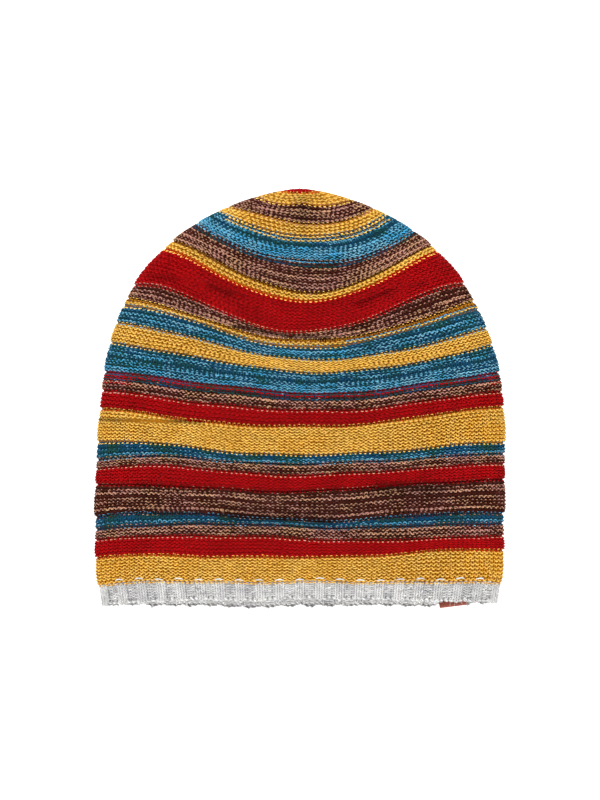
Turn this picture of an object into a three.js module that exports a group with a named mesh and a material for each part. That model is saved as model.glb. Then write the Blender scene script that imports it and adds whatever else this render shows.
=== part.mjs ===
// A striped knitted wool cap, lying flat on its back layer with the opening towards -Y.
// Millimetres, +Z up. The origin is on the surface it lies on, under the middle of its outline.
// "Height" is measured in the plane of the cap, from the front layer's rim up to the tip.
import * as THREE from 'three';

const { clamp, degToRad, lerp, smoothstep } = THREE.MathUtils;

// Plan of the flat cap
const LENGTH = 240.9;
const HALF_WIDTH = 119.4;
const RIM_HALF_WIDTH = 116.2;
const SHOULDER_HEIGHT = 36.4;
const SIDE_POWER = 3.9;
const TOP_POWER = 1.6;
const LEAN = 1.5;
const RIM_Y = -118.3;

// Thickness of the flat cap: its side folds, its domed front layer and its flat back layer
const FOLD_HEIGHT = 8;
const LOFT = 22;
const RIM_LOFT = 9;
const LOFT_REACH = 90;
const FRONT_ROUNDING = 2.6;
const TIP_ROUNDING = 5;
const FLAT_SHARE = 0.7;
const FLAT_TOP = 165;
const EDGE_ROUNDING = 1.6;
const BACK_DROP = 4.7;
const BACK_DROP_POWER = 2.6;
const BACK_LIFT = 2;
const BACK_LIFT_REACH = 60;

// Walls and the seam between the crown and its hem
const CROWN_WALL = 2.6;
const HEM_WALL = 3.2;
const SEAM_GAP = 0.3;

// Stripes from the rim up: the heights where each one's top edge lies, on the centre line and where
// it meets the outline at the left and right, and how far the stripe stands out as a soft welt
const STRIPES = [
  { yarn: 'yellow', middle: 25.9, left: 25.3, right: 30.0, welt: 0.7 },
  { yarn: 'red', middle: 36.7, left: 35.8, right: 38.2, welt: 0.6 },
  { yarn: 'brown', middle: 44.3, left: 41.6, right: 45.7, welt: 0.3 },
  { yarn: 'blue', middle: 47.8, left: 49.2, right: 51.3, welt: 0.2 },
  { yarn: 'brown', middle: 65.2, left: 68.4, right: 71.4, welt: 0.8 },
  { yarn: 'red', middle: 74.0, left: 77.2, right: 80.1, welt: 0.5 },
  { yarn: 'brown', middle: 80.7, left: 82.4, right: 86.2, welt: 0.3 },
  { yarn: 'blue', middle: 85.6, left: 93.2, right: 92.6, welt: 0.4 },
  { yarn: 'yellow', middle: 101.9, left: 112.4, right: 113.6, welt: 0.7 },
  { yarn: 'red', middle: 111.3, left: 123.2, right: 122.6, welt: 0.5 },
  { yarn: 'brown', middle: 121.7, left: 134.0, right: 133.7, welt: 0.5 },
  { yarn: 'blue', middle: 134.3, left: 151.2, right: 150.0, welt: 0.7 },
  { yarn: 'yellow', middle: 141.5, left: 162.8, right: 159.3, welt: 0.5 },
  { yarn: 'blue', middle: 148.2, left: 172.2, right: 169.8, welt: 0.4 },
  { yarn: 'yellow', middle: 152.6, left: 177.0, right: 175.0, welt: 0.2 },
  { yarn: 'brown', middle: 156.7, left: 184.4, right: 185.5, welt: 0.2 },
  { yarn: 'red', middle: 175.0, left: 206.0, right: 204.5, welt: 0.8 },
  { yarn: 'yellow', middle: 179.8, left: 210.5, right: 208.0, welt: 0.3 },
  { yarn: 'brown', middle: 198.6, left: 221.1, right: 216.4, welt: 0.8 },
  { yarn: 'blue', middle: 213.5, left: 228.0, right: 226.2, welt: 0.6 },
  { yarn: 'yellow', middle: 221.0, left: 230.0, right: 229.4, welt: 0.3 },
  { yarn: 'brown', middle: 231.0, left: 236.4, right: 234.4, welt: 0.3 },
  { yarn: 'yellow', middle: 238.0, left: 239.8, right: 239.8, welt: 0 },
];
const RIM = { middle: 1.5, left: -1.7, right: -0.3 };
const HEM_TOP = { middle: 11.1, left: 9.0, right: 10.5 };
const TIP = { middle: LENGTH, left: LENGTH, right: LENGTH };
const COURSE_POWER = 1.7;

// Creases pressed into the front layer, each along a straight line in the plane of the cap
const CREASES = {
  yellowBandGroove: { fromX: -117, fromHeight: 107, toX: -40, toHeight: 105, depth: 1.4, reach: 4 },
  underUpperRed: { fromX: -35, fromHeight: 151, toX: 18, toHeight: 149, depth: 1.5, reach: 5 },
  underWideBrown: { fromX: -40, fromHeight: 50, toX: 18, toHeight: 48, depth: 1.5, reach: 5 },
  upperLeftSlant: { fromX: -75, fromHeight: 186, toX: -29, toHeight: 179, depth: 1.4, reach: 6 },
  upperRightSlant: { fromX: 29, fromHeight: 170, toX: 76, toHeight: 182, depth: 1.4, reach: 6 },
  rightOfWideBrown: { fromX: 47, fromHeight: 67, toX: 82, toHeight: 66, depth: 1.4, reach: 4 },
  gatherBelowTip: { fromX: 2, fromHeight: 222, toX: 2, toHeight: 232, depth: 1.4, reach: 5 },
};

// The hem's two-by-two ribs, counted round the whole opening, and how far they stand out
const RIBS = 41;
const WALES_PER_RIB = 4;
const RIB_RELIEF = 0.35;

// The leather tab: a strip folded over the edge of the back layer
const TAB_WIDTH = 16;
const TAB_LEAF = 14;
const TAB_HEIGHT = 7.2;
const TAB_THICKNESS = 1.2;
const TAB_BEND = 1.8;
const TAB_X = 90;
const TAB_Y = -121.7;
const TAB_TURN = degToRad(5);

// How finely the crown is faceted
const COLUMNS = 60;
const OUTER_STEP = 6;
const INNER_STEP = 14;

const YARN_COLOURS = {
  yellow: '#d49a38',
  red: '#a01018',
  brown: '#6e473a',
  blue: '#2f6f8e',
  grey: '#c6c6c5',
};
const LEATHER_COLOUR = '#a5503c';
const WOOL = { roughness: 0.95, metalness: 0 };
const LEATHER = { roughness: 0.6, metalness: 0 };

function halfWidth(height, inset) {
  if (height < SHOULDER_HEIGHT) {
    const drop = 1 - clamp(height / SHOULDER_HEIGHT, 0, 1);
    return lerp(HALF_WIDTH, RIM_HALF_WIDTH, drop ** 2) - inset;
  }
  const rise = (height - SHOULDER_HEIGHT) / (LENGTH - inset - SHOULDER_HEIGHT);
  return (HALF_WIDTH - inset) * (1 - clamp(rise, 0, 1) ** SIDE_POWER) ** (1 / TOP_POWER);
}

function leanAt(height) {
  return LEAN * Math.sin(Math.PI * clamp(height / LENGTH, 0, 1)) ** 6;
}

function creaseDepth(x, height) {
  let depth = 0;
  for (const crease of Object.values(CREASES)) {
    const along = new THREE.Vector2(crease.toX - crease.fromX, crease.toHeight - crease.fromHeight);
    const offset = new THREE.Vector2(x - crease.fromX, height - crease.fromHeight);
    const share = clamp(offset.dot(along) / along.lengthSq(), 0, 1);
    const distance = offset.addScaledVector(along, -share).length();
    depth += crease.depth * Math.exp(-((distance / crease.reach) ** 2));
  }
  return depth;
}

// A quarter round: 1 where the edge is far away, down to 0 where it is reached
function rounded(nearness) {
  return Math.sqrt(1 - clamp(nearness, 0, 1) ** 2);
}

// One point of the knitted wall. A course is a ring round the cap, given by its three heights. The
// angle runs from the right fold over the front layer to the left fold and back under the cap. The
// inset moves the surface inwards, and the relief moves it out again where it isn't pressed flat.
function wallPoint(course, angle, { inset = 0, relief = 0, backRelief = 0 }) {
  const across = Math.cos(angle);
  const spread = Math.abs(across);
  const length = LENGTH - inset;
  const shrink = length / LENGTH;

  const end = (across < 0 ? course.left : course.right) * shrink;
  const middle = course.middle * shrink;
  const height = lerp(middle, end, spread ** COURSE_POWER);
  const left = leanAt(course.left) - halfWidth(course.left * shrink, inset);
  const right = leanAt(course.right) + halfWidth(course.right * shrink, inset);
  const x = lerp(left, right, (across + 1) / 2);
  const climb = clamp(middle / length, 0, 1);

  const point = new THREE.Vector3(x, RIM_Y + height, FOLD_HEIGHT);
  const outward = new THREE.Vector3(Math.sign(across) * spread ** 3, 0, 0);
  let push = relief;
  if (Math.sin(angle) >= 0) {
    const fullness = Math.sqrt(1 - spread ** FRONT_ROUNDING) * Math.sqrt(1 - climb ** TIP_ROUNDING);
    const loft = lerp(RIM_LOFT, LOFT, smoothstep(middle, 0, LOFT_REACH));
    point.z += (loft - inset) * fullness;
    outward.z = fullness;
    if (inset === 0) push -= creaseDepth(x, height) * fullness;
  } else {
    const edge = Math.max((spread - FLAT_SHARE) / (1 - FLAT_SHARE), 0) ** EDGE_ROUNDING;
    const top = Math.max((middle - FLAT_TOP) / (length - FLAT_TOP), 0) ** 2;
    const flatness = rounded(edge) * rounded(top);
    const lift = BACK_LIFT * (1 - smoothstep(middle, 0, BACK_LIFT_REACH));
    point.z -= (FOLD_HEIGHT - inset - lift) * flatness;
    point.y -= BACK_DROP * (1 - climb) ** 2 * (1 - spread ** BACK_DROP_POWER);
    outward.z = -flatness;
    push *= lerp(1 - flatness, 1, backRelief);
  }
  return point.addScaledVector(outward.normalize(), push);
}

function ring(course, angles, options) {
  return angles.map((angle) => wallPoint(course, angle, options));
}

function courseBetween(lower, upper, share) {
  return {
    middle: lerp(lower.middle, upper.middle, share),
    left: lerp(lower.left, upper.left, share),
    right: lerp(lower.right, upper.right, share),
  };
}

function raised(course, amount) {
  return {
    middle: course.middle + amount,
    left: course.left + amount,
    right: course.right + amount,
  };
}

// Joins each ring of points to the next one and the last back to the first. A ring of a single
// point is a pole, which closes the surface.
function wallGeometry(rings) {
  const positions = [];
  const starts = [];
  for (const points of rings) {
    starts.push(positions.length / 3);
    for (const point of points) positions.push(...point.toArray());
  }
  const index = [];
  rings.forEach((points, row) => {
    const nextRow = (row + 1) % rings.length;
    const isPole = points.length === 1;
    const nextIsPole = rings[nextRow].length === 1;
    const count = Math.max(points.length, rings[nextRow].length);
    for (let column = 0; column < count; column += 1) {
      const after = (column + 1) % count;
      const here = starts[row] + (isPole ? 0 : column);
      const beside = starts[row] + (isPole ? 0 : after);
      const above = starts[nextRow] + (nextIsPole ? 0 : column);
      const across = starts[nextRow] + (nextIsPole ? 0 : after);
      if (!isPole) index.push(here, across, beside);
      if (!nextIsPole) index.push(here, above, across);
    }
  });
  const geometry = new THREE.BufferGeometry();
  geometry.setAttribute('position', new THREE.Float32BufferAttribute(positions, 3));
  geometry.setIndex(index);
  geometry.computeVertexNormals();
  return geometry;
}

// The crown is one piece of cloth, so its one colour is the mean of its stripes by their widths
function meanStripeColour() {
  const mean = new THREE.Color(0, 0, 0);
  let lower = HEM_TOP.middle;
  for (const stripe of STRIPES) {
    const share = (stripe.middle - lower) / (LENGTH - HEM_TOP.middle);
    mean.add(new THREE.Color(YARN_COLOURS[stripe.yarn]).multiplyScalar(share));
    lower = stripe.middle;
  }
  return mean;
}

function crown() {
  const angles = Array.from({ length: COLUMNS }, (_, column) => (2 * Math.PI * column) / COLUMNS);
  const seam = raised(HEM_TOP, SEAM_GAP);
  const outer = [ring(seam, angles, {})];
  const inner = [ring(seam, angles, { inset: CROWN_WALL })];
  let lower = seam;
  let innerMiddle = seam.middle;
  for (const stripe of STRIPES) {
    const steps = Math.max(1, Math.round((stripe.middle - lower.middle) / OUTER_STEP));
    for (let step = 1; step <= steps; step += 1) {
      const share = step / steps;
      const relief = stripe.welt * Math.sin(Math.PI * share);
      outer.push(ring(courseBetween(lower, stripe, share), angles, { relief }));
    }
    if (stripe.middle - innerMiddle >= INNER_STEP) {
      inner.push(ring(stripe, angles, { inset: CROWN_WALL }));
      innerMiddle = stripe.middle;
    }
    lower = stripe;
  }
  outer.push(ring(courseBetween(lower, TIP, 0.6), angles, {}));
  const outerPole = [wallPoint(TIP, Math.PI / 2, {})];
  const innerPole = [wallPoint(TIP, Math.PI / 2, { inset: CROWN_WALL })];
  const geometry = wallGeometry([...outer, outerPole, innerPole, ...inner.reverse()]);
  const material = new THREE.MeshStandardMaterial({ color: meanStripeColour(), ...WOOL });
  const mesh = new THREE.Mesh(geometry, material);
  mesh.name = 'crown';
  return mesh;
}

function ribHem() {
  const wales = RIBS * WALES_PER_RIB;
  const half = wales / 2;
  const angles = Array.from({ length: wales }, (_, wale) => {
    const turn = Math.floor(wale / half);
    return Math.PI * turn + Math.acos(1 - (2 * (wale % half)) / half);
  });
  const ribbed = (course) => angles.map((angle, wale) => {
    const relief = wale % WALES_PER_RIB < WALES_PER_RIB / 2 ? RIB_RELIEF : -RIB_RELIEF;
    return wallPoint(course, angle, { relief, backRelief: 1 });
  });
  const middle = courseBetween(RIM, HEM_TOP, 0.5);
  const rings = [
    ribbed(RIM),
    ribbed(middle),
    ribbed(HEM_TOP),
    ring(HEM_TOP, angles, { inset: HEM_WALL }),
    ring(RIM, angles, { inset: HEM_WALL }),
  ];
  const material = new THREE.MeshStandardMaterial({ color: YARN_COLOURS.grey, ...WOOL });
  const mesh = new THREE.Mesh(wallGeometry(rings), material);
  mesh.name = 'rib_hem';
  return mesh;
}

// A strip bent into a U: drawn from the side, with its bend at the origin, and extruded to its width
function leatherTab() {
  const inside = TAB_BEND - TAB_THICKNESS;
  const top = TAB_HEIGHT - TAB_BEND;
  const outline = new THREE.Shape();
  outline.moveTo(TAB_LEAF, 0);
  outline.lineTo(TAB_LEAF, TAB_THICKNESS);
  outline.lineTo(TAB_BEND, TAB_THICKNESS);
  outline.absarc(TAB_BEND, TAB_BEND, inside, -Math.PI / 2, -Math.PI, true);
  outline.lineTo(TAB_THICKNESS, top);
  outline.absarc(TAB_BEND, top, inside, Math.PI, Math.PI / 2, true);
  outline.lineTo(TAB_LEAF, TAB_HEIGHT - TAB_THICKNESS);
  outline.lineTo(TAB_LEAF, TAB_HEIGHT);
  outline.lineTo(TAB_BEND, TAB_HEIGHT);
  outline.absarc(TAB_BEND, top, TAB_BEND, Math.PI / 2, Math.PI, false);
  outline.lineTo(0, TAB_BEND);
  outline.absarc(TAB_BEND, TAB_BEND, TAB_BEND, Math.PI, 1.5 * Math.PI, false);
  outline.lineTo(TAB_LEAF, 0);

  const geometry = new THREE.ExtrudeGeometry(outline, {
    depth: TAB_WIDTH,
    steps: 1,
    bevelEnabled: false,
    curveSegments: 4,
  });
  geometry.translate(0, 0, -TAB_WIDTH / 2);
  const sideways = new THREE.Matrix4().makeBasis(
    new THREE.Vector3(0, 1, 0),
    new THREE.Vector3(0, 0, 1),
    new THREE.Vector3(1, 0, 0),
  );
  geometry.applyMatrix4(sideways);
  const material = new THREE.MeshStandardMaterial({ color: LEATHER_COLOUR, ...LEATHER });
  const mesh = new THREE.Mesh(geometry, material);
  mesh.name = 'leather_tab';
  mesh.position.set(TAB_X, TAB_Y, 0);
  mesh.rotation.z = TAB_TURN;
  return mesh;
}

const cap = new THREE.Group();
cap.add(crown(), ribHem(), leatherTab());

export default cap;
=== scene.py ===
# %% [markdown]
# # A striped wool cap, stitch by stitch
#
# The cap lies flat on its back layer and is seen from straight above. It is knitted in the round
# with the reverse side of the fabric outwards, in stripes of yellow, red, brown and blue wool, and
# it has a light grey ribbed hem with a small leather tab.
#
# The imported solids come in first as a fixed frame. They set the size and the place of everything
# below.

import bpy
import numpy as np
from mathutils import Matrix, Vector


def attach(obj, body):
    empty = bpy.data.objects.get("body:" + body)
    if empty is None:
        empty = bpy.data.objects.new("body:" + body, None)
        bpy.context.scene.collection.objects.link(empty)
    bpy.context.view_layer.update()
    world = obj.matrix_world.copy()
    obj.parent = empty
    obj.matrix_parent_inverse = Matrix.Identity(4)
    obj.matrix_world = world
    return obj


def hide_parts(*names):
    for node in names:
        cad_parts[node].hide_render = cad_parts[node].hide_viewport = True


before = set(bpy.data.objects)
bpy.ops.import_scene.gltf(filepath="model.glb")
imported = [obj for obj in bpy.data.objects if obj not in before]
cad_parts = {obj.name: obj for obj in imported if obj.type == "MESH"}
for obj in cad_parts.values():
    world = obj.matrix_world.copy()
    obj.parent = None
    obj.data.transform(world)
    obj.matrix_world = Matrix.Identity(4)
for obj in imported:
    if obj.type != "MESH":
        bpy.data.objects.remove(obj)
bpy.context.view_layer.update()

MM = 0.001
random = np.random.default_rng(20240)

# %% [markdown]
# ## The surface that the knitting lies on
#
# A flat cap could be a mesh that is modelled by hand, with the stitches as a bump texture. Real
# loops of yarn look right from the side and cast their own shadows, so here the cap is a formula,
# and every loop is placed on it. The numbers are the ones of the solids: the outline in the plane,
# a domed front layer and a back layer that lies flat on the table.

# %% The plan and the thickness of the flat cap, in millimetres
LENGTH = 240.9
HALF_WIDTH = 119.4
RIM_HALF_WIDTH = 116.2
SHOULDER_HEIGHT = 36.4
SIDE_POWER = 3.9
TOP_POWER = 1.6
LEAN = 1.5
RIM_Y = -118.3

FOLD_HEIGHT = 8
LOFT = 22
RIM_LOFT = 9
LOFT_REACH = 90
FRONT_ROUNDING = 2.6
TIP_ROUNDING = 5
FLAT_SHARE = 0.7
FLAT_TOP = 165
EDGE_ROUNDING = 1.6
BACK_DROP = 4.7
BACK_DROP_POWER = 2.6
BACK_LIFT = 2
BACK_LIFT_REACH = 60


def smooth_step(value, reach):
    share = np.clip(value / reach, 0, 1)
    return share * share * (3 - 2 * share)


def half_width(height, inset):
    """How far the outline is from the centre line at a height above the rim"""
    drop = 1 - np.clip(height / SHOULDER_HEIGHT, 0, 1)
    low = HALF_WIDTH + (RIM_HALF_WIDTH - HALF_WIDTH) * drop**2 - inset
    rise = (height - SHOULDER_HEIGHT) / (LENGTH - inset - SHOULDER_HEIGHT)
    high = (HALF_WIDTH - inset) * (1 - np.clip(rise, 0, 1) ** SIDE_POWER) ** (1 / TOP_POWER)
    return np.where(height < SHOULDER_HEIGHT, low, high)


def lean_at(height):
    return LEAN * np.sin(np.pi * np.clip(height / LENGTH, 0, 1)) ** 6


print("widest:", 2 * HALF_WIDTH, "mm, tall:", LENGTH, "mm")

# %% [markdown]
# ## The knitting chart
#
# A knitter works from a chart: one row after another, with a letter for each yarn. Stripes could
# also be painted on a smooth cap, but with a chart the colour changes where the yarn does, loop by
# loop. The stripes aren't level. Each one sags in the middle and climbs to the side folds, so the
# chart also gives the height of its top edge at five places across the front, how far it swells
# out, how deep the groove along its lower edge lies, and how dark a painted shade is there.
#
# The brown and the blue wool are marled, which means spun from a light and a dark strand. Which
# strand shows changes from row to row, so these yarns have several letters. Each letter says how
# much light shows on the heads of the loops and on the sinkers between them: both together draw a
# zigzag line, and heads alone draw a row of dashes.

# %% The chart, from the rim up
YARN_LETTERS = {"grey": "g", "yellow": "y", "red": "r", "brown": "ztmn", "blue": "budkw"}
YARN_OF = {letter: yarn for yarn, letters in YARN_LETTERS.items() for letter in letters}
LIGHT_SHARES = {
    # letter: on the heads, on the sinkers
    "z": (0.55, 0.4),
    "t": (0.45, -0.05),
    "m": (0.2, -0.2),
    "n": (-0.1, -0.3),
    "b": (0.65, 0.35),
    "u": (0.5, -0.05),
    "d": (0.1, -0.2),
    "k": (-0.2, -0.3),
    "w": (0.3, 0.3),
}
# A row of letter w is pulled tall, so that the long legs of its loops show
ROW_STRETCH = {"w": 2.2}

# Stripes stand out a little more than the plain solids say, with narrow grooves between them
SWELL_GAIN = 1.7
SWELL_POWER = 0.6
# Below 1, a stripe stands out most near its lower edge
SWELL_LOWNESS = 0.6
# An edge with more painted shade also lies deeper
EDGE_LIFT = 0.3
EDGE_DEPTH = 1.7
# The first and the last row of a stripe turn down into the groove and look lower from above
GROOVE_ROW = 0.75

RIM_EDGE = (-2.3, 0.9, 1.6, 1.2, -0.7)
HEM = ("ggggggg", 0, 0, (9.0, 11.7, 11.1, 11.4, 10.5))
STRIPES = [
    # rows from its lower edge up, painted shade along that edge (which also sets how deep the edge
    # lies), swell, heights of its top edge from the left to the right
    ("yyyyyyyyy", 0, 0.7, (25.3, 27.1, 25.9, 28.8, 30.0)),
    ("rrrrrr", 0.15, 0.6, (35.8, 38.7, 36.7, 36.1, 38.2)),
    ("ztzz", 0, 0.3, (41.6, 45.7, 44.3, 44.3, 45.7)),
    ("duk", 0.2, 0.2, (49.2, 51.6, 47.8, 49.8, 51.3)),
    ("tnzmttnztn", 0.35, 0.8, (68.4, 66.7, 65.2, 68.4, 71.4)),
    ("rrrrrr", 0.4, 0.5, (77.2, 77.8, 74.0, 76.9, 80.1)),
    ("zttz", 0, 0.3, (82.4, 83.6, 80.7, 83.3, 86.2)),
    ("uudk", 0.15, 0.4, (93.2, 90.0, 85.6, 88.8, 92.6)),
    ("yyyyyyyyyy", 0, 0.7, (112.4, 105.7, 101.9, 106.6, 113.6)),
    ("rrrrr", 0.35, 0.5, (123.2, 115.9, 111.3, 115.0, 122.6)),
    ("zttzkr", 0, 0.5, (134.0, 127.3, 121.7, 124.9, 133.7)),
    ("kbbuwuud", 0.25, 0.7, (151.2, 141.3, 134.3, 137.2, 150.0)),
    ("yyyyyy", 0.2, 0.5, (162.8, 150.9, 141.5, 145.3, 159.3)),
    ("buubd", 0.15, 0.4, (172.2, 159.9, 148.2, 154.7, 169.8)),
    ("yy", 0.1, 0.2, (177.0, 162.5, 152.6, 158.2, 175.0)),
    ("nzztt", 0.3, 0.2, (184.4, 170.7, 156.7, 168.6, 185.5)),
    ("rrrrrrrrrr", 0, 0.8, (206.0, 187.2, 175.0, 184.3, 204.5)),
    ("yyy", 0, 0.3, (210.5, 192.4, 179.8, 188.4, 208.0)),
    ("ntzttztmtkt", 0.25, 0.8, (221.1, 204.2, 198.6, 201.0, 216.4)),
    ("bbbbbwuud", 0.25, 0.6, (228.0, 217.6, 213.5, 214.8, 226.2)),
    ("yyyy", 0, 0.3, (230.0, 225.2, 221.0, 220.6, 229.4)),
    ("zztzzt", 0.25, 0.3, (236.4, 231.8, 231.0, 231.0, 234.4)),
    ("yyyyy", 0, 0, (239.8, 238.4, 238.0, 238.4, 239.8)),
    ("rrr", 0, 0, (240.9, 240.9, 240.9, 240.9, 240.9)),
]
# Runs of another yarn within one row: the stripe, its row, and where the run starts and ends
# across the front, from -1 at the left fold to 1 at the right one
RUNS = [
    (10, 3, -1, -0.82, "r"),
    (10, 3, 0.94, 1, "r"),
    (14, 0, 0.25, 1, "u"),
    (19, 7, -0.9, 0.95, "y"),
]


def row_edges():
    """The five heights of each edge between two rows, rim first, with the rows' letters"""
    letters = []
    edges = [np.array(RIM_EDGE, dtype=float)]
    swells = [0.0]
    shades = [stripe[1] for stripe in STRIPES] + [0]
    for (rows, _, swell, top), edge_shade in zip([HEM, *STRIPES], shades):
        low = edges[-1]
        sizes = np.array([ROW_STRETCH.get(letter, 1) for letter in rows], dtype=float)
        sizes[[0, -1]] *= 1 if rows == HEM[0] else GROOVE_ROW
        shares = np.cumsum(sizes) / sizes.sum()
        for letter, share in zip(rows, shares):
            letters.append(letter)
            edges.append(low + (np.array(top) - low) * share)
            swells.append(SWELL_GAIN * swell * np.sin(np.pi * share**SWELL_LOWNESS) ** SWELL_POWER)
        swells[-1] = EDGE_LIFT - EDGE_DEPTH * edge_shade
    return "".join(letters), np.array(edges), np.array(swells)


LETTERS, EDGES, SWELLS = row_edges()
HEM_ROWS = len(HEM[0])
ROWS = len(LETTERS)
STRIPE_EDGES = HEM_ROWS + np.cumsum([0, *(len(stripe[0]) for stripe in STRIPES[:-1])])
# The painted shade along each stripe's lower edge
EDGE_PAINTED_SHADES = np.array([stripe[1] for stripe in STRIPES])
print(ROWS - HEM_ROWS, "rows in the crown,", HEM_ROWS, "in the hem")

# %% [markdown]
# ## From a row and an angle to a point
#
# A row is a ring round the cap. Its angle runs from the right fold over the front to the left fold
# and back underneath. A sculpted mesh could carry the rows too, but a formula gives the point and
# the outward direction for any row and angle, which is all that a loop needs. Between the five
# charted heights one smooth curve is drawn, and a slow wander is added, because no row of a soft
# cap lies perfectly even. Creases are pressed in where the front layer has sunk.

# %% The surface itself
CREASES = [
    # from x and height, to x and height, depth, reach
    (-117, 106.3, -57, 104.9, 2.1, 1.1),
    (-38, 160.5, -5, 154.6, 2.2, 1.4),
    (-5, 154.6, 16, 153.6, 1.8, 1.4),
    (-40, 50, 18, 48, 1.2, 5),
    (-87, 190, -66, 187.2, 0.9, 2.2),
    (-57, 184.9, -33, 177, 1.4, 1.8),
    (33, 173, 54, 181.5, 1.4, 1.8),
    (60, 183.2, 73, 185.5, 0.7, 2.2),
    (47, 67, 82, 66, 1.2, 4),
    (2, 222, 2, 232, 1.2, 5),
]
PLACES = np.array([-1, -0.5, 0, 0.5, 1])
# Turns the powers of a place into the weights of the five charted heights
CURVE = np.linalg.inv(np.vander(PLACES))
# Just below the tip, the rows are gathered into a small peak
GATHER_X = 1.5
GATHER_HEIGHT = 232
GATHER_HALF_WIDTH = 6
GATHER_REACH = 5
GATHER_LIFT = 1.4
# Waves of the rows' slow wander: how far, over what length, shift from row to row, start
WANDER_WAVES = [(0.45, 17, 0.13, 0), (0.3, 8.3, -0.21, 2)]
CALM_BELOW_TIP = 12


def row_heights(row, across):
    """A row's height at a place across the front, and its charted heights at the five places"""
    charted = np.stack([np.interp(row, np.arange(ROWS + 1), edge) for edge in EDGES.T], -1)
    powers = np.vander(np.ravel(across), len(PLACES))
    weights = powers.reshape(*np.shape(across), len(PLACES)) @ CURVE
    return np.sum(weights * charted, -1), charted


def crease_depth(x, height):
    depth = 0
    for from_x, from_height, to_x, to_height, deep, reach in CREASES:
        along_x, along_height = to_x - from_x, to_height - from_height
        share = (x - from_x) * along_x + (height - from_height) * along_height
        share = np.clip(share / (along_x**2 + along_height**2), 0, 1)
        gap = np.hypot(x - from_x - share * along_x, height - from_height - share * along_height)
        depth = depth + deep * np.exp(-((gap / reach) ** 2))
    return depth


def rounded(nearness):
    return np.sqrt(1 - np.clip(nearness, 0, 1) ** 2)


def cap_surface(row, angle, inset=0.0):
    """Points of the cap and their outward directions, for arrays of rows and angles"""
    row, angle = np.broadcast_arrays(np.asarray(row, dtype=float), np.asarray(angle, dtype=float))
    across = np.cos(angle)
    spread = np.abs(across)
    length = LENGTH - inset
    shrink = length / LENGTH
    height, charted = row_heights(row, across)
    left = lean_at(charted[..., 0]) - half_width(charted[..., 0] * shrink, inset)
    right = lean_at(charted[..., 4]) + half_width(charted[..., 4] * shrink, inset)
    x = left + (right - left) * (across + 1) / 2

    calm = np.clip((LENGTH - height) / CALM_BELOW_TIP, 0, 1) * (1 - spread**4)
    wander = 0
    for far, wave_length, shift, start in WANDER_WAVES:
        wander = wander + far * np.sin(x / wave_length + row * shift + start)
    beside = (x - GATHER_X) / GATHER_HALF_WIDTH
    above = (height - GATHER_HEIGHT) / GATHER_REACH
    gather = np.exp(-(beside**2) - above**2)
    height = (height + calm * wander + GATHER_LIFT * gather) * shrink

    middle = charted[..., 2] * shrink
    climb = np.clip(middle / length, 0, 1)
    point = np.stack([x, RIM_Y + height, np.full(x.shape, float(FOLD_HEIGHT))], -1)
    outward = np.stack([np.sign(across) * spread**3, 0 * x, 0 * x], -1)
    swell = np.interp(row, np.arange(ROWS + 1), SWELLS)

    front = np.sin(angle) >= 0
    fullness = np.sqrt(1 - spread**FRONT_ROUNDING) * np.sqrt(1 - climb**TIP_ROUNDING)
    loft = RIM_LOFT + (LOFT - RIM_LOFT) * smooth_step(middle, LOFT_REACH)
    edge = np.maximum((spread - FLAT_SHARE) / (1 - FLAT_SHARE), 0) ** EDGE_ROUNDING
    top = np.maximum((middle - FLAT_TOP) / (length - FLAT_TOP), 0) ** 2
    flatness = rounded(edge) * rounded(top)
    lift = BACK_LIFT * (1 - smooth_step(middle, BACK_LIFT_REACH))
    drop = BACK_DROP * (1 - climb) ** 2 * (1 - spread**BACK_DROP_POWER)

    front_rise = (loft - inset) * fullness
    back_sink = (FOLD_HEIGHT - inset - lift) * flatness
    point[..., 2] += np.where(front, front_rise, -back_sink)
    point[..., 1] -= np.where(front, 0, drop)
    outward[..., 2] = np.where(front, fullness, -flatness)
    # Where that leaves no direction, it points up
    outward[..., 2] += np.where(np.abs(outward).sum(-1) < 1e-6, 1, 0)
    outward /= np.linalg.norm(outward, axis=-1, keepdims=True)
    push = np.where(front, swell - crease_depth(x, height) * fullness, swell * (1 - flatness))
    return point + outward * np.where(inset > 0, 0, push)[..., None], outward


sample, _ = cap_surface(np.array([HEM_ROWS, ROWS / 2]), np.pi / 2)
print("front of the hem and of the middle row:", sample.round(1).tolist())

# %% [markdown]
# ## Rows of loops
#
# One stitch is one loop of yarn. Seen along the row, it swings down into a sinker, climbs a leg,
# rounds a head and comes down the other leg. On the reverse side the heads and sinkers lie on top
# and the legs behind, which gives the little waves of this cap. Three sines draw that path: one
# sideways, one up and one outwards. The heads of a row reach just past the sinkers of the next one,
# and the two together make one wavy line. Where the yarn changes, that line has both colours: there
# the loops reach further, only their tips show, and they draw a row of dashes along the stripe.
#
# Curve objects would give round yarn at once, but twenty thousand stitches in them are heavy. So
# the tubes are made as arrays of points, with three sides, and shaded smooth.

# %% Measures of the yarn and its loops, in millimetres
WALE_PITCH = 2.88
YARN_RADIUS = 0.5
LOOP_REACH = 0.74
LOOP_SWING = 0.2
LOOP_SLANT = 0.03
LOOP_DEPTH = 0.45
# Below 1, the heads and sinkers are flat and wide, as on a relaxed fabric
LOOP_ROUNDNESS = 0.5
# How much a stitch differs from the next in height, place, slant and thickness
UNEVEN_REACH = 0.1
UNEVEN_PLACE = 0.07
UNEVEN_SLANT = 0.1
UNEVEN_YARN = 0.07
UNEVEN_SHADE = 0.07
# Painted shade on the legs, which lie deep behind the heads and sinkers
LEG_PAINTED_SHADE = 0.05
# Rows with fewer stitches than this, near the tip, lie flatter
EASE_WALES = 12
# No loop reaches this close to the tip, in rows
TIP_MARGIN = 0.02
# The painted shade along a stripe's lower edge is deepest half a row above it and fades from
# there. The rows below the edge take a smaller share of it
EDGE_SHIFT = 0.5
EDGE_FALL = 2
EDGE_SHARE_BELOW = 0.3
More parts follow.
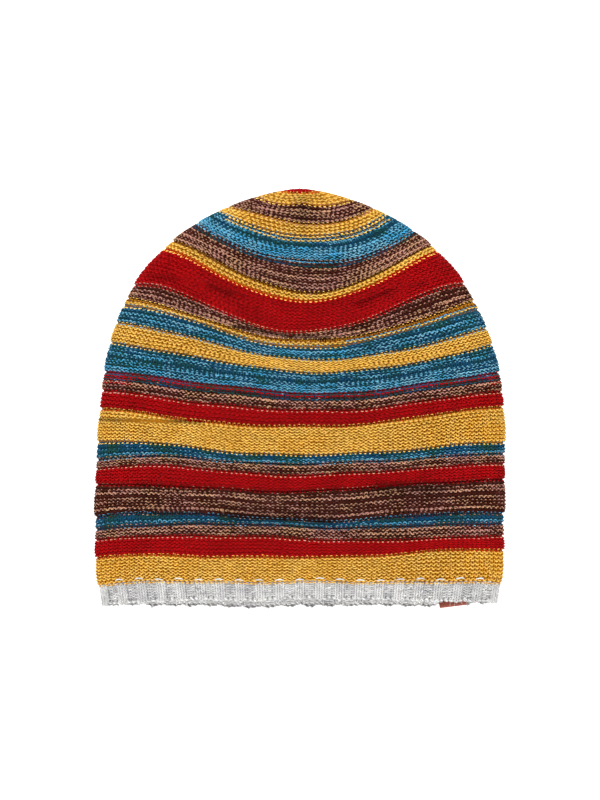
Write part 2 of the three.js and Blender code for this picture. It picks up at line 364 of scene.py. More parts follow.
# Where two yarns meet, their loops cross further into the other stripe, with deep legs and with
# finer tips that get a painted highlight
EDGE_REACH = 0.3
EDGE_DIP = 1.15
EDGE_THINNING = 0.3
EDGE_PAINTED_HIGHLIGHT = 0.6
# Painted shade in the creases, for each millimetre of their depth
CREASE_PAINTED_SHADE = 0.32
# Painted shade: how much darker the sides of the yarn are than its top. On the marled yarns it
# also keeps the light strand to the top of the yarn, as the real ply lies
SIDE_PAINTED_SHADE = {"yellow": 0.6, "red": 0.6, "brown": 1.1, "blue": 1.1, "grey": 0.5}
TUBE_SIDES = 3
STEPS = {"front": 8, "back": 5}
LAYER_START = {"front": 0, "back": np.pi}
PROBES = 241
# Room in the texture map beside a tube's last side, counted in sides
MAP_GAP = 0.4


class YarnRun:
    """Collects the tubes of one yarn, with what its finish needs to know at each point"""

    def __init__(self, yarn):
        self.side_painted_shade = SIDE_PAINTED_SHADE[yarn]
        self.points = []
        self.quads = []
        self.ends = []
        self.light = []
        self.shade = []
        self.maps = []
        self.count = 0

    def add_tube(self, path, outward, radius, sides, share, light, shade):
        """A tube along a path, closed at both ends"""
        steps = len(path)
        tangent = np.gradient(path, axis=0)
        tangent /= np.linalg.norm(tangent, axis=1, keepdims=True)
        beside = np.cross(tangent, outward)
        beside /= np.linalg.norm(beside, axis=1, keepdims=True)
        above = np.cross(beside, tangent)
        turn = np.pi / 2 + 2 * np.pi * np.arange(sides) / sides
        sideways = np.cos(turn)[None, :, None] * beside[:, None]
        upwards = np.sin(turn)[None, :, None] * above[:, None]
        radius = np.broadcast_to(radius, steps)
        tube = path[:, None] + (sideways + upwards) * radius[:, None, None]
        # The table presses the yarn flat where it lies on it
        tube[..., 2] = np.maximum(tube[..., 2], 0)
        start = self.count
        index = start + np.arange(steps * sides).reshape(steps, sides)
        beyond = np.roll(index, -1, axis=1)
        quads = np.stack([index[:-1], index[1:], beyond[1:], beyond[:-1]], -1)
        low = np.arange(sides) / (sides + MAP_GAP)
        high = low + 1 / (sides + MAP_GAP)
        u0 = np.repeat(share[:-1], sides)
        u1 = np.repeat(share[1:], sides)
        v0 = np.tile(low, steps - 1)
        v1 = np.tile(high, steps - 1)
        corners = np.stack([u0, v0, u1, v0, u1, v1, u0, v1], -1).reshape(-1, sides, 4, 2)
        # Faces are split from their first corner, so turning every other ring keeps loops even
        quads[1::2] = np.roll(quads[1::2], 1, axis=2)
        corners[1::2] = np.roll(corners[1::2], 1, axis=2)
        self.points.append(tube.reshape(-1, 3))
        self.quads.append(quads.reshape(-1, 4))
        self.ends += [index[0][::-1].tolist(), index[-1].tolist()]
        # Painted shade on the sides of the tube, none on its top
        facing = self.side_painted_shade * (np.sin(turn) ** 2 - 1)
        self.light.append((light[:, None] + facing[None, :]).ravel())
        self.shade.append(np.repeat(shade, sides))
        self.maps.append(corners.reshape(-1, 2))
        self.count += steps * sides

    def make(self, name):
        """One object from all the tubes, in metres, with its attributes and its own texture map"""
        points = np.concatenate(self.points) * MM
        quads = np.concatenate(self.quads)
        ends = np.array(self.ends)
        mesh = bpy.data.meshes.new(name)
        mesh.vertices.add(len(points))
        mesh.vertices.foreach_set("co", points.ravel())
        corner_count = 4 * len(quads) + ends.size
        mesh.loops.add(corner_count)
        mesh.loops.foreach_set("vertex_index", np.concatenate([quads.ravel(), ends.ravel()]))
        mesh.polygons.add(len(quads) + len(ends))
        starts = np.concatenate(
            [4 * np.arange(len(quads)), 4 * len(quads) + ends.shape[1] * np.arange(len(ends))]
        )
        mesh.polygons.foreach_set("loop_start", starts)
        mesh.update(calc_edges=True)
        mesh.validate()
        for label, values in (("light", self.light), ("shade", self.shade)):
            layer = mesh.attributes.new(label, "FLOAT", "POINT")
            layer.data.foreach_set("value", np.concatenate(values))
        tubes = len(self.maps)
        placed = [corners * [1, 1 / tubes] + [0, k / tubes] for k, corners in enumerate(self.maps)]
        placed = np.concatenate([*placed, np.zeros((ends.size, 2))])
        layer = mesh.uv_layers.new(name="OFBake")
        layer.data.foreach_set("uv", placed.ravel())
        mesh.shade_smooth()
        piece = bpy.data.objects.new(name, mesh)
        bpy.context.collection.objects.link(piece)
        print(name, "has", 2 * len(quads), "triangles")
        return piece


print("a loop is", 2 * LOOP_REACH, "rows tall and", WALE_PITCH, "mm wide")

# %% Count the stitches of a row and find their places round the cap
# Waves of the drift: weight, waves along the yarn, shift from row to row
DRIFT_WAVES = [(0.6, 21, 2.4), (0.4, 47, -1.7)]


def places_in_row(row, layer):
    """The length of a row's half ring, and the angle for any share of that length"""
    angles = LAYER_START[layer] + np.linspace(0, np.pi, PROBES)
    points, _ = cap_surface(row, angles)
    steps = np.linalg.norm(np.diff(points, axis=0), axis=1)
    lengths = np.concatenate([[0], np.cumsum(steps)])
    return lengths[-1], lengths / lengths[-1], angles


def wales_in_row(length):
    """Whole stitches, counted in pairs so that the columns stay in line over several rows"""
    return max(4, 2 * round(length / (2 * WALE_PITCH)))


def loop_height(turn):
    """1 at a loop's sinker and -1 at its head"""
    swing = np.cos(2 * np.pi * turn)
    return np.sign(swing) * np.abs(swing) ** LOOP_ROUNDNESS


def drift(row, share):
    """A slow change along the yarn, from -1 to 1"""
    return sum(weight * np.sin(share * wave + row * shift) for weight, wave, shift in DRIFT_WAVES)


def unevenness(stitches, count):
    """Chance values that glide from one half stitch to the next"""
    values = random.normal(0, 1, (count, 2 * int(stitches.max()) + 3))
    return [np.interp(2 * stitches, np.arange(len(each)), each) for each in values]


row_length, _, _ = places_in_row(HEM_ROWS + 0.5, "front")
print("the first row is", round(row_length), "mm long, with", wales_in_row(row_length), "stitches")

# %% [markdown]
# ## Knit the crown
#
# Each row becomes one tube for the front and one for the back, and rows with a run of another yarn
# are cut into parts. A marled yarn turns its light strand up now and then. Noise in the finish
# could speckle it, but on the real cap the light strand follows the heads and the sinkers. So
# where it shows is worked out per stitch and stored on the points, and the finish reads it there.
# A plain yarn stores painted light there instead: lit heads and sinkers and shaded legs.

# %% Knit the crown's rows
# How light the tops of a plain yarn are painted: its heads and sinkers take the lit copy of its
# colour and its legs the shaded one, as painted light and shade
PLAIN_PAINTED_LIGHT = 0.95
# How suddenly a marled yarn turns from one strand to the other, and what else moves the turn
TURN_SHARPNESS = 3.2
DRIFT_LIGHT = 0.22
DRIFT_STITCHES = 80
CHANCE_LIGHT = 0.12


def strand_share_and_painted_light(letter, row, stitch, turn, chances):
    """Marled yarn shows its light strand on heads and sinkers; plain yarn gets painted light and
    shade
    """
    tops = 0.5 + 0.5 * np.cos(4 * np.pi * turn)
    if letter not in LIGHT_SHARES:
        return PLAIN_PAINTED_LIGHT * tops
    is_head = np.cos(2 * np.pi * turn) < 0
    shown_row = np.minimum(row + is_head, ROWS - 1)
    own = LIGHT_SHARES[letter]
    heads, sinkers = np.array([LIGHT_SHARES.get(shown, own) for shown in LETTERS]).T
    share = np.where(is_head, heads[shown_row], sinkers[shown_row])
    share = share + DRIFT_LIGHT * drift(shown_row, stitch / DRIFT_STITCHES)
    share = share + CHANCE_LIGHT * chances
    return np.clip(0.5 + TURN_SHARPNESS * (tops - 1 + share), 0, 1)


def painted_shade_at_edges(row, lifted, turn, crossing):
    """The painted shade along a stripe's lower edge, less the painted highlight on crossing loops
    """
    own_edges = np.where(STRIPE_EDGES <= row, EDGE_PAINTED_SHADES, EDGE_SHARE_BELOW * EDGE_PAINTED_SHADES)
    above_edges = lifted[:, None] - STRIPE_EDGES
    nearness = np.exp(-EDGE_FALL * (above_edges - EDGE_SHIFT) ** 2)
    painted_highlight = EDGE_PAINTED_HIGHLIGHT * crossing * np.abs(loop_height(turn))
    return np.max(own_edges * nearness, axis=1) - painted_highlight


def knit_row(runs, row, layer, letter, start, end):
    """Adds the loops of one row, or of a run in it, to the tubes of its yarn"""
    length, shares, angles = places_in_row(row + 0.5, layer)
    wales = wales_in_row(length)
    steps = STEPS[layer]
    first, last = round(start * wales), round(end * wales)
    if last <= first:
        return
    stitches = np.arange(first * steps, last * steps + 1) / steps
    stitch = np.floor(stitches).astype(int)
    turn = stitches - stitch
    taller, further, steeper, thicker, paler = unevenness(stitches, 5)
    waves = np.sin(4 * np.pi * turn)
    along = (stitches + LOOP_SWING * waves + UNEVEN_PLACE * further) / wales
    angle = np.interp(np.clip(along, 0, 1), shares, angles)
    is_head = np.cos(2 * np.pi * turn) < 0
    crossing = np.isin(row + is_head, STRIPE_EDGES[1:])
    reach = (LOOP_REACH + EDGE_REACH * crossing) * (1 + UNEVEN_REACH * taller)
    slant = (LOOP_SLANT + UNEVEN_SLANT * steeper) * waves
    lifted = np.clip(row + 0.5 - reach * loop_height(turn) + slant, 0, ROWS - TIP_MARGIN)
    surface, outward = cap_surface(lifted, angle)
    ease = min(1, wales / EASE_WALES)
    legs = (1 - np.cos(4 * np.pi * turn)) / 2
    out = -2 * LOOP_DEPTH * ease * legs - EDGE_DIP * crossing * waves**2 - YARN_RADIUS
    path = surface + outward * out[:, None]
    light = strand_share_and_painted_light(letter, row, stitch, turn, thicker)
    crease = crease_depth(surface[:, 0], surface[:, 1] - RIM_Y) if layer == "front" else 0
    painted_groove_and_crease_shade = painted_shade_at_edges(row, lifted, turn, crossing) + CREASE_PAINTED_SHADE * crease
    # Each stitch's own tone, less painted shade on the legs, along stripe edges and in creases,
    # plus painted highlights on the crossing tips
    shade = UNEVEN_SHADE * paler - LEG_PAINTED_SHADE * legs - painted_groove_and_crease_shade
    radius = YARN_RADIUS * (1 + UNEVEN_YARN * thicker) * (1 - EDGE_THINNING * crossing)
    yarn = YARN_OF[letter]
    run = runs.setdefault((yarn, layer), YarnRun(yarn))
    run.add_tube(path, outward, radius, TUBE_SIDES, stitches / wales, light, shade)


def parts_of_row(row, layer):
    """The runs of a row as letter, start and end, given as shares of the half ring"""
    parts = [(LETTERS[row], 0.0, 1.0)]
    first_row = HEM_ROWS
    for stripe, (rows, *_) in enumerate(STRIPES):
        for run_stripe, run_row, low, high, letter in RUNS:
            if run_stripe != stripe or first_row + run_row != row or layer == "back":
                continue
            _, shares, angles = places_in_row(row + 0.5, layer)
            start = float(np.interp(np.arccos(high), angles, shares))
            end = float(np.interp(np.arccos(low), angles, shares))
            base, base_start, base_end = parts.pop()
            parts += [(base, base_start, start), (letter, start, end), (base, end, base_end)]
        first_row += len(rows)
    return parts


crown_runs = {}
for row in range(HEM_ROWS, ROWS):
    for layer in ("front", "back"):
        for letter, start, end in parts_of_row(row, layer):
            knit_row(crown_runs, row, layer, letter, start, end)

crown_pieces = {
    (yarn, layer): run.make(f"{yarn}_rows_{layer}") for (yarn, layer), run in crown_runs.items()
}

# %% [markdown]
# ## The wall behind the loops
#
# Real yarn is fluffy and fills the gaps between its loops. Thin tubes leave pinholes. Thicker
# tubes could close them, but they would run into each other, so a closed wall lies just under the
# loops, dark like the shade between stitches. In front it reaches down behind the hem, and at the
# back it stops above it, so that it doesn't show at the opening.

# %% Build the inner wall
WALL_OUTER_INSET = 1.5
WALL_INNER_INSET = 2.6
# In front it reaches down behind the hem, and lies deeper there. At the back it ends above the hem
HEM_WALL_ROW = 1
BACK_WALL_ROW = HEM_ROWS - 0.5
HEM_WALL_INSET = 3.0
HEM_WALL_THICKNESS = 0.8
# The side folds count as the back
FOLD_MARGIN = 0.01
WALL_COLUMNS = 96
WALL_ROW_STEP = 3


def wall_rings():
    """Rings of the wall's outer face from the rim up, then of its inner face back down"""
    angles = 2 * np.pi * np.arange(WALL_COLUMNS) / WALL_COLUMNS
    rows = [HEM_ROWS]
    while rows[-1] < ROWS - WALL_ROW_STEP:
        last = rows[-1]
        ahead = last + 1
        while ahead < min(ROWS, last + WALL_ROW_STEP) and LETTERS[ahead] == LETTERS[last]:
            ahead += 1
        rows.append(ahead)
    hem_rows = np.where(np.sin(angles) > FOLD_MARGIN, HEM_WALL_ROW, BACK_WALL_ROW)
    surface, outward = cap_surface(hem_rows, angles)
    rings = [(HEM_WALL_ROW, surface - outward * HEM_WALL_INSET)]
    for row in rows:
        surface, outward = cap_surface(row, angles)
        rings.append((row, surface - outward * WALL_OUTER_INSET))
    for row in rows[::-1]:
        surface, _ = cap_surface(row, angles, WALL_INNER_INSET)
        rings.append((row, surface))
    surface, _ = cap_surface(hem_rows, angles, HEM_WALL_INSET + HEM_WALL_THICKNESS)
    rings.append((HEM_WALL_ROW, surface))
    return rings


def build_wall():
    rings = wall_rings()
    mesh = bpy.data.meshes.new("inner_wall")
    points = np.concatenate([ring for _, ring in rings]) * MM
    faces = []
    yarns = []
    for k, (row, _) in enumerate(rings):
        beyond = (k + 1) % len(rings)
        low = min(row, rings[beyond][0])
        here, there = k * WALL_COLUMNS, beyond * WALL_COLUMNS
        for column in range(WALL_COLUMNS):
            after = (column + 1) % WALL_COLUMNS
            faces.append((here + column, there + column, there + after, here + after))
            yarns.append(YARN_OF[LETTERS[min(low, ROWS - 1)]])
    mesh.from_pydata(points.tolist(), [], faces)
    mesh.validate()
    mesh.shade_smooth()
    piece = bpy.data.objects.new("inner_wall", mesh)
    bpy.context.collection.objects.link(piece)
    return piece, yarns


inner_wall, wall_yarns = build_wall()
print("inner wall faces:", len(inner_wall.data.polygons))

# %% [markdown]
# ## The ribbed hem
#
# Two columns of stitches face outwards and the next two face inwards, all the way round. That
# makes the fabric draw in like a spring. A wavy band would give the ribs but not their stitches,
# so the same kind of loop serves, with the legs on top for the raised columns. A last strand winds
# round the edge, where the knitting was cast on. Pale strands of the hem's last row arch over the
# first stripe, and loose hairs stand out from the soft wool.

# %% Knit the hem
HEM_WALES = 82
RIB_WALES = 4
HEM_YARN = 0.55
HEM_STEPS = 12
HEM_SIDES = 4
HEM_REACH = 0.85
HEM_LOOP_DEPTH = 0.4
# Swing, depth and lightness of the columns that face outwards and of those that face inwards.
# The lower lightness of the inward columns is painted shade
RAISED = (0.27, 1.1, 0.64)
SUNK = (0.16, 1.6, 0.54)
FLECK = 0.14
# How much lighter the tops of the hem's loops are painted than their sides, as painted light
TOP_PAINTED_LIGHT = 0.15
# Painted light on the back layer's hem, which lies in the front layer's shade: most at its edge,
# less on the rows above
BACK_PAINTED_LIGHT = (0.75, 0.65, 0.3)
SCALLOP = 0.35
CAST_ON_STEPS = 8
CAST_ON_YARN = 0.55
CAST_ON_DEPTH = 1.6
CAST_ON_UNEVEN = 0.35
CAST_ON_LIGHT = 0.75
# Painted light on the outer side of each turn of the cast-on strand
CAST_ON_TOP_PAINTED_LIGHT = 0.2
BRIDGE_STEPS = 9
BRIDGE_REACH = 0.8
BRIDGE_ROW = 1.4
BRIDGE_ARCH = 0.3
BRIDGE_DEPTH = 0.3
BRIDGE_END_DEPTH = 0.8
BRIDGE_YARN = 0.4
BRIDGE_LIGHT = 0.9
# How uneven the strands are in height and in lightness
BRIDGE_UNEVEN = (0.12, 0.1)
HAIRS = 700
HAIR_STEPS = 5
HAIR_LENGTH = 2.0
HAIR_YARN = 0.06
HAIR_SPREAD = 0.5
HAIR_DROOP = 0.9
HAIR_CURL = 0.4


def scallop(column):
    """How many rows the edge is drawn up between the raised ribs"""
    return SCALLOP * (1 - np.cos(2 * np.pi * (column - 1) / RIB_WALES))


def knit_hem(run, layer):
    for row in range(HEM_ROWS):
        _, shares, angles = places_in_row(row + 0.5, layer)
        stitches = np.arange(HEM_WALES * HEM_STEPS + 1) / HEM_STEPS
        turn = stitches - np.floor(stitches)
        taller, lighter, paler = unevenness(stitches, 3)
        column = stitches + (HEM_WALES if layer == "back" else 0)
        raised = column % RIB_WALES < RIB_WALES / 2
        swing, depth, lightness = np.where(raised, np.array([RAISED]).T, np.array([SUNK]).T)
        along = (stitches + swing * np.sin(4 * np.pi * turn)) / HEM_WALES
        angle = np.interp(np.clip(along, 0, 1), shares, angles)
        reach = HEM_REACH * (1 + UNEVEN_REACH * taller)
        lifted = row + 0.5 - reach * np.cos(2 * np.pi * turn)
        lifted = lifted + (1 - row / HEM_ROWS) * scallop(column)
        surface, outward = cap_surface(lifted, angle)
        facing = np.where(raised, -1, 1) * np.cos(4 * np.pi * turn)
        out = HEM_LOOP_DEPTH * facing - depth
        path = surface + outward * out[:, None]
        # Painted light on the tops of the loops and painted shade in the sunk columns, with random
        # flecks
        light = lightness + TOP_PAINTED_LIGHT * facing + FLECK * lighter
        if layer == "back":
            light = light + BACK_PAINTED_LIGHT[min(row, 2)]
        shade = UNEVEN_SHADE * paler
        run.add_tube(path, outward, HEM_YARN, HEM_SIDES, stitches / HEM_WALES, light, shade)


def cast_on_edge(run, layer):
    """The strand that winds round the edge, one turn for each stitch"""
    _, shares, angles = places_in_row(0, layer)
    turn = np.arange(HEM_WALES * CAST_ON_STEPS + 1) / CAST_ON_STEPS
    angle = np.interp(turn / HEM_WALES, shares, angles)
    column = turn + (HEM_WALES if layer == "back" else 0)
    surface, outward = cap_surface(scallop(column), angle)
    out = np.cos(2 * np.pi * turn) - CAST_ON_DEPTH
    path = surface + outward * out[:, None]
    lower, paler = unevenness(turn, 2)
    path[:, 1] += CAST_ON_UNEVEN * (np.sin(2 * np.pi * turn) + lower)
    light = CAST_ON_LIGHT + CAST_ON_TOP_PAINTED_LIGHT * np.cos(2 * np.pi * turn) + FLECK * paler
    run.add_tube(path, outward, CAST_ON_YARN, HEM_SIDES, turn / HEM_WALES, light, 0 * turn)


def bridging_strands(run, layer):
    """Above each raised rib, a pale strand of the hem's last row arches over the first stripe"""
    _, shares, angles = places_in_row(HEM_ROWS + 1, layer)
    for rib in range(HEM_WALES // RIB_WALES + 1):
        centre = RIB_WALES * rib + 1 - (HEM_WALES % RIB_WALES if layer == "back" else 0)
        if not 1 < centre < HEM_WALES - 1:
            continue
        turn = np.linspace(-1, 1, BRIDGE_STEPS)
        higher, paler = BRIDGE_UNEVEN * random.normal(0, 1, 2)
        angle = np.interp((centre + BRIDGE_REACH * turn) / HEM_WALES, shares, angles)
        level = HEM_ROWS + BRIDGE_ROW + higher - BRIDGE_ARCH * turn**2
        surface, outward = cap_surface(level, angle)
        out = -BRIDGE_DEPTH - BRIDGE_END_DEPTH * turn**4
        path = surface + outward * out[:, None]
        light = BRIDGE_LIGHT + paler + 0 * turn
        share = (centre + turn) / HEM_WALES
        run.add_tube(path, outward, BRIDGE_YARN, HEM_SIDES, share, light, 0 * turn)


def add_hairs(run):
    """Loose fibres round the hem, most of them at its edge"""
    bend = np.linspace(0, 1, HAIR_STEPS)
    for _ in range(HAIRS):
        row = HEM_ROWS * random.random() ** 2
        angle = 2 * np.pi * random.random()
        surface, outward = cap_surface(row, angle)
        curl = random.normal(0, 1, (2, 3))
        out = outward * random.random() + curl[0] * HAIR_SPREAD
        out[1] += row / HEM_ROWS - HAIR_DROOP
        length = HAIR_LENGTH * (0.5 + random.random())
        bent = bend[:, None] * out + HAIR_CURL * bend[:, None] ** 2 * curl[1]
        path = surface - outward + length * bent
        path[:, 2] = np.maximum(path[:, 2], HAIR_YARN)
        run.add_tube(path, outward, HAIR_YARN, TUBE_SIDES, bend, 1 + 0 * bend, 0 * bend)


hem_run = YarnRun("grey")
for layer in ("front", "back"):
    knit_hem(hem_run, layer)
    cast_on_edge(hem_run, layer)
    bridging_strands(hem_run, layer)
hair_run = YarnRun("grey")
add_hairs(hair_run)
hem_pieces = [hem_run.make("rib_hem_rows"), hair_run.make("rib_hem_hairs")]

# %% [markdown]
# ## The leather tab
#
# A strip of leather is folded over the edge of the back layer. A flat box could be bent with a
# Simple Deform modifier, but a side view drawn point by point says exactly where each fold lies.
# A sheet of faces follows that side view, gets its thickness from a Solidify modifier and its soft
# edges from a Bevel modifier.

# %% Fold the tab
TAB_WIDTH = 16
TAB_LEAF = 14
TAB_HEIGHT = 7.2
TAB_THICKNESS = 1.2
TAB_BEND = 1.8
TAB_X = 90
TAB_Y = -121.4
TAB_TURN = np.radians(7)
TAB_EDGE = 0.3
# Points along a leaf, round a bend and across the strip
TAB_LEAF_POINTS = 8
TAB_BEND_POINTS = 7
TAB_COLUMNS = 9


def tab_side_view():
    """The outside of the folded strip from the end of its lower leaf to that of its upper one"""
    points = [(y, 0) for y in np.linspace(TAB_LEAF, TAB_BEND, TAB_LEAF_POINTS)]
    for turn in np.linspace(np.pi * 1.5, np.pi, TAB_BEND_POINTS)[1:]:
        points.append((TAB_BEND + TAB_BEND * np.cos(turn), TAB_BEND + TAB_BEND * np.sin(turn)))
    top = TAB_HEIGHT - TAB_BEND
    for turn in np.linspace(np.pi, np.pi / 2, TAB_BEND_POINTS):
        points.append((TAB_BEND + TAB_BEND * np.cos(turn), top + TAB_BEND * np.sin(turn)))
    points += [(y, TAB_HEIGHT) for y in np.linspace(TAB_BEND, TAB_LEAF, TAB_LEAF_POINTS)[1:]]
    return points


def fold_tab():
    mesh = bpy.data.meshes.new("leather_strip")
    side = tab_side_view()
    columns = np.linspace(-TAB_WIDTH / 2, TAB_WIDTH / 2, TAB_COLUMNS)
    points = [(x, y, z) for y, z in side for x in columns]
    count = len(columns)
    faces = []
    for row in range(len(side) - 1):
        for column in range(count - 1):
            here = row * count + column
            faces.append((here, here + count, here + count + 1, here + 1))
    mesh.from_pydata(points, [], faces)
    place = Matrix.Translation((TAB_X, TAB_Y, 0)) @ Matrix.Rotation(TAB_TURN, 4, "Z")
    mesh.transform(Matrix.Scale(MM, 4) @ place)
    piece = bpy.data.objects.new("leather_strip", mesh)
    bpy.context.collection.objects.link(piece)
    thickness = piece.modifiers.new("thickness", "SOLIDIFY")
    thickness.thickness = TAB_THICKNESS * MM
    thickness.offset = 1
    edges = piece.modifiers.new("soft edges", "BEVEL")
    edges.width = TAB_EDGE * MM
    edges.segments = 3
    mesh.shade_smooth()
    return piece


tab_piece = fold_tab()
print("tab:", [round(side / MM, 1) for side in tab_piece.dimensions])

# %% [markdown]
# ## Finishes
#
# A material is a tree of nodes, and could be wired by hand in the shader editor. To write its sums
# as plain Python instead, a small class wraps a socket and adds a Math node for each operator.

# %% Shader sums in Python


class Value:
    """A number that a finish works out at each point of the surface"""

    def __init__(self, finish, socket):
        self.finish = finish
        self.socket = socket

    def sum_node(self, operation, first, second):
        return self.finish.node("ShaderNodeMath", {"operation": operation}, {0: first, 1: second})

    def __add__(self, other):
        return self.sum_node("ADD", self, other)

    def __sub__(self, other):
        return self.sum_node("SUBTRACT", self, other)

    def __rsub__(self, other):
        return self.sum_node("SUBTRACT", other, self)

    def __mul__(self, other):
        return self.sum_node("MULTIPLY", self, other)

    __radd__ = __add__
    __rmul__ = __mul__


class Finish:
    """A material, its shader and one way to add any node to it"""

    def __init__(self, name, **constants):
        self.material = bpy.data.materials.new(name)
        self.material.use_nodes = True
        self.tree = self.material.node_tree
        self.shader = self.tree.nodes["Principled BSDF"]
        for socket, value in constants.items():
            self.shader.inputs[socket.replace("_", " ")].default_value = value

    def node(self, kind, settings, inputs, output=0):
        made = self.tree.nodes.new(kind)
        for setting, value in settings.items():
            setattr(made, setting, value)
        for socket, value in inputs.items():
            self.join(made.inputs[socket], value)
        return Value(self, made.outputs[output])

    def join(self, socket, value):
        if isinstance(value, Value):
            self.tree.links.new(value.socket, socket)
        else:
            socket.default_value = value

    def blend(self, share, first, second):
        inputs = {0: share, 6: first, 7: second}
        return self.node("ShaderNodeMix", {"data_type": "RGBA"}, inputs, output=2)

    def stored(self, label):
        return self.node("ShaderNodeAttribute", {"attribute_name": label}, {}, output=2)

    def noise(self, scale, detail=2.0):
        place = self.node("ShaderNodeTexCoord", {}, {}, output=3)
        inputs = {"Vector": place, "Scale": scale, "Detail": detail}
        return self.node("ShaderNodeTexNoise", {}, inputs)

    def brighter(self, colour, amount):
        return self.node("ShaderNodeHueSaturation", {}, {"Color": colour, "Value": amount})

    def bump(self, height, strength, distance):
        inputs = {"Height": height, "Strength": strength, "Distance": distance}
        return self.node("ShaderNodeBump", {}, inputs)

    def shows(self, **values):
        for socket, value in values.items():
            self.join(self.shader.inputs[socket.replace("_", " ")], value)


def colour(red, green, blue):
    """A screen colour, 0 to 255, as the linear colour that a shader wants"""
    share = np.array([red, green, blue]) / 255
    linear = np.where(share <= 0.04045, share / 12.92, ((share + 0.055) / 1.055) ** 2.4)
    return (*linear.tolist(), 1.0)


print("mid grey is", [round(part, 3) for part in colour(128, 128, 128)])

# %% [markdown]
# ## Wool
#
# Wool is rough and its surface hairs catch light at the edges, which is what sheen is for. Its
# fibres could be a hair system, but on so many stitches that would be far too heavy. So fine noise
# along the yarn stands for them, and slow noise for uneven dyeing. Every stitch also has its own
# slight shade.

# %% Mix the wool finishes
STRANDS_AND_PAINTED_LIGHT = {
    # the dark strand in two batches of dye, then the light strand in two batches. A plain yarn has
    # one strand, so its dark pair is painted shade for legs and sides and its light pair painted
    # light
    "yellow": ((178, 114, 20), (184, 122, 28), (252, 204, 92), (255, 214, 108)),
    "red": ((142, 2, 5), (152, 3, 7), (172, 5, 9), (184, 9, 14)),
    "brown": ((60, 18, 8), (72, 28, 20), (222, 170, 130), (216, 158, 142)),
    "blue": ((28, 70, 64), (14, 72, 108), (76, 182, 238), (140, 204, 222)),
    "grey": ((126, 126, 127), (136, 136, 135), (218, 217, 217), (228, 227, 225)),
}
FIBRE_SCALE = 2600
DYE_SCALE = 45
BATCH_SCALE = 70
# How much the fibres mix the two strands, and how much fibres and dye change the shade
FIBRE_MIX = 0.4
FIBRE_SHADE = 0.5
DYE_SHADE = 0.2
# How suddenly one batch of dye turns into the other
BATCH_SHARPNESS = 4


def wool(name, strands):
    dark, other_dark, light, other_light = (colour(*strand) for strand in strands)
    finish = Finish(name, Sheen_Weight=0.02, Sheen_Roughness=0.5, Specular_IOR_Level=0.05)
    fibres = finish.noise(FIBRE_SCALE, detail=3.0)
    dye = finish.noise(DYE_SCALE)
    # On a plain yarn the stored light mixes a lit and a shaded copy of its colour: painted light
    # and shade
    strand = finish.stored("light") + FIBRE_MIX * (fibres - 0.5)
    batch = 0.5 + BATCH_SHARPNESS * (finish.noise(BATCH_SCALE) - 0.5)
    dark_tint = finish.blend(batch, dark, other_dark)
    light_tint = finish.blend(batch, light, other_light)
    tint = finish.blend(strand, dark_tint, light_tint)
    # The stored shade holds each stitch's own tone together with painted shade and painted
    # highlights
    amount = 1 + finish.stored("shade") + FIBRE_SHADE * (fibres - 0.5) + DYE_SHADE * (dye - 0.5)
    finish.shows(
        Base_Color=finish.brighter(tint, amount),
        Roughness=0.8 + 0.2 * fibres,
        Normal=finish.bump(fibres, 0.6, 0.0003),
    )
    return finish.material


WOOLS = {yarn: wool(f"{yarn}_wool", strands) for yarn, strands in STRANDS_AND_PAINTED_LIGHT.items()}
for (yarn, layer), piece in crown_pieces.items():
    piece.data.materials.append(WOOLS[yarn])
for piece in hem_pieces:
    piece.data.materials.append(WOOLS["grey"])
print("wools:", ", ".join(WOOLS))

# %% [markdown]
# The wall behind the loops has the same colours, deeper, as if seen in the shade of the stitches.
# Only specks of it show, so it has no strands: noise between two shades looks felted enough.

# %% Mix the wall's finishes
WALL_PAINTED_SHADE_TINTS = {
    # two tints of the felted yarn, painted as the shade between stitches
    "yellow": ((136, 84, 10), (168, 108, 20)),
    "red": ((166, 4, 9), (182, 6, 12)),
    "brown": ((42, 14, 8), (60, 26, 18)),
    "blue": ((14, 44, 56), (22, 66, 86)),
    "grey": ((150, 150, 150), (184, 184, 183)),
}
WALL_FIBRE_SCALE = 700


def wall_wool(name, dark, light):
    finish = Finish(name, Specular_IOR_Level=0.05)
    fibres = finish.noise(WALL_FIBRE_SCALE, detail=4.0)
    finish.shows(
        Base_Color=finish.blend(fibres, colour(*dark), colour(*light)),
        Roughness=0.85 + 0.15 * fibres,
        Normal=finish.bump(fibres, 0.8, 0.0006),
    )
    return finish.material


for yarn, strands in WALL_PAINTED_SHADE_TINTS.items():
    inner_wall.data.materials.append(wall_wool(f"{yarn}_wall_wool", *strands))
slots = [list(WALL_PAINTED_SHADE_TINTS).index(yarn) for yarn in wall_yarns]
inner_wall.data.polygons.foreach_set("material_index", slots)
inner_wall.data.update()
print("wall finishes:", len(inner_wall.data.materials))

# %% [markdown]
# ## Leather
#
# Bare leather has a fine pebbled grain and a satin surface. The grain could be sculpted, but on a
# tab this small Voronoi cells as bump look the same. Noise mixes two browns, as wear does.

# %% Finish the tab
GRAIN_SCALE = 1400
WEAR_SCALE = 250


def leather():
    finish = Finish("brown_leather", Specular_IOR_Level=0.3)
    place = finish.node("ShaderNodeTexCoord", {}, {}, output=3)
    grain = finish.node("ShaderNodeTexVoronoi", {}, {"Vector": place, "Scale": GRAIN_SCALE})
    wear = finish.noise(WEAR_SCALE, detail=5.0)
    tint = finish.blend(wear, colour(98, 38, 24), colour(144, 66, 44))
    finish.shows(
        Base_Color=tint,
        Roughness=0.45 + 0.3 * wear,
        Normal=finish.bump(grain, 0.35, 0.0004),
    )
    return finish.material


tab_piece.data.materials.append(leather())
print("the tab's finish:", tab_piece.data.materials[0].name)

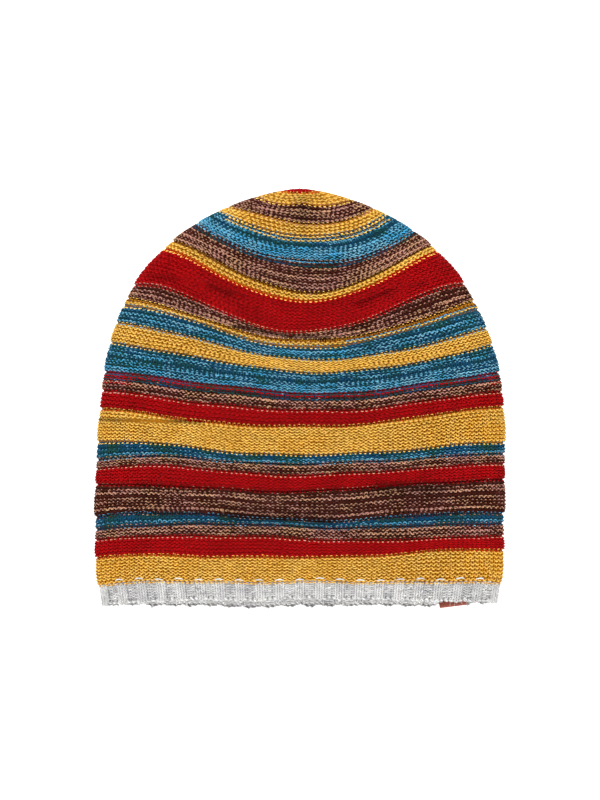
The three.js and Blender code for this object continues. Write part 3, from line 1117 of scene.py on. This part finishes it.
# %% [markdown]
# ## Tie the pieces to the frame
#
# Nothing on the cap turns or slides, so every piece moves with the one rigid body. The knitted
# pieces and the tab stand for the plain solids, which are hidden then.

# %% Ride and replace
for piece in crown_pieces.values():
    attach(piece, "root")
    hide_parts("crown")
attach(inner_wall, "root")
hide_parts("crown")
for piece in hem_pieces:
    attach(piece, "root")
    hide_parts("rib_hem")
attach(tab_piece, "root")
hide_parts("leather_tab")
print(len(crown_pieces) + len(hem_pieces), "knitted pieces, the inner wall and the tab are tied")

# %% [markdown]
# ## The studio
#
# The cap lies on white, lit softly from all sides, with one large lamp beyond the tip and one
# beyond the opening. They light the rows across, so that every groove between two rows is shaded.
# A white background alone would let the cap float, and a floor catches its soft shadow. It glows a
# little to stay white, and lies a hair lower than the cap, because faces in one plane would mix.

# %% Floor, light and camera
FLOOR_SIZE = 4.0
FLOOR_DROP = 0.0001
SPECK_SCALE = 30
CAMERA_LENS = 200
CAMERA_DISTANCE = 2.589
FOCUS_HEIGHT = 0.015
VIEW_CENTRE = (0.0003, -0.0006)
SKY_STRENGTH = 0.55
LAMPS = [
    # name, place, size, power
    ("key", (-0.3, 1.5, 1.6), 0.7, 44),
    ("fill", (0.4, -1.7, 1.3), 1.2, 46),
]


def add_floor():
    mesh = bpy.data.meshes.new("floor")
    half = FLOOR_SIZE / 2
    sides = [(-half, -half), (half, -half), (half, half), (-half, half)]
    mesh.from_pydata([(x, y, -FLOOR_DROP) for x, y in sides], [], [(0, 1, 2, 3)])
    floor = bpy.data.objects.new("floor", mesh)
    bpy.context.collection.objects.link(floor)
    finish = Finish("white_floor", Roughness=0.9, Emission_Strength=0.7)
    specks = finish.noise(SPECK_SCALE)
    finish.shows(
        Base_Color=finish.blend(specks, (0.9, 0.9, 0.9, 1), (0.95, 0.95, 0.95, 1)),
        Emission_Color=(1, 1, 1, 1),
    )
    mesh.materials.append(finish.material)


def add_light(name, place, size, power):
    data = bpy.data.lights.new(name, "AREA")
    data.shape = "DISK"
    data.size = size
    data.energy = power
    light = bpy.data.objects.new(name, data)
    light.location = place
    light.rotation_euler = (-Vector(place)).to_track_quat("-Z", "Y").to_euler()
    bpy.context.collection.objects.link(light)


add_floor()
for lamp in LAMPS:
    add_light(*lamp)

world = bpy.data.worlds.new("studio")
world.use_nodes = True
world.node_tree.nodes["Background"].inputs["Color"].default_value = (1, 1, 1, 1)
world.node_tree.nodes["Background"].inputs["Strength"].default_value = SKY_STRENGTH
bpy.context.scene.world = world
bpy.context.scene.view_settings.view_transform = "Standard"

camera_data = bpy.data.cameras.new("camera")
camera_data.lens = CAMERA_LENS
camera = bpy.data.objects.new("camera", camera_data)
camera.location = (*VIEW_CENTRE, CAMERA_DISTANCE + FOCUS_HEIGHT)
bpy.context.collection.objects.link(camera)
bpy.context.scene.camera = camera
print("lamps:", ", ".join(name for name, *_ in LAMPS))
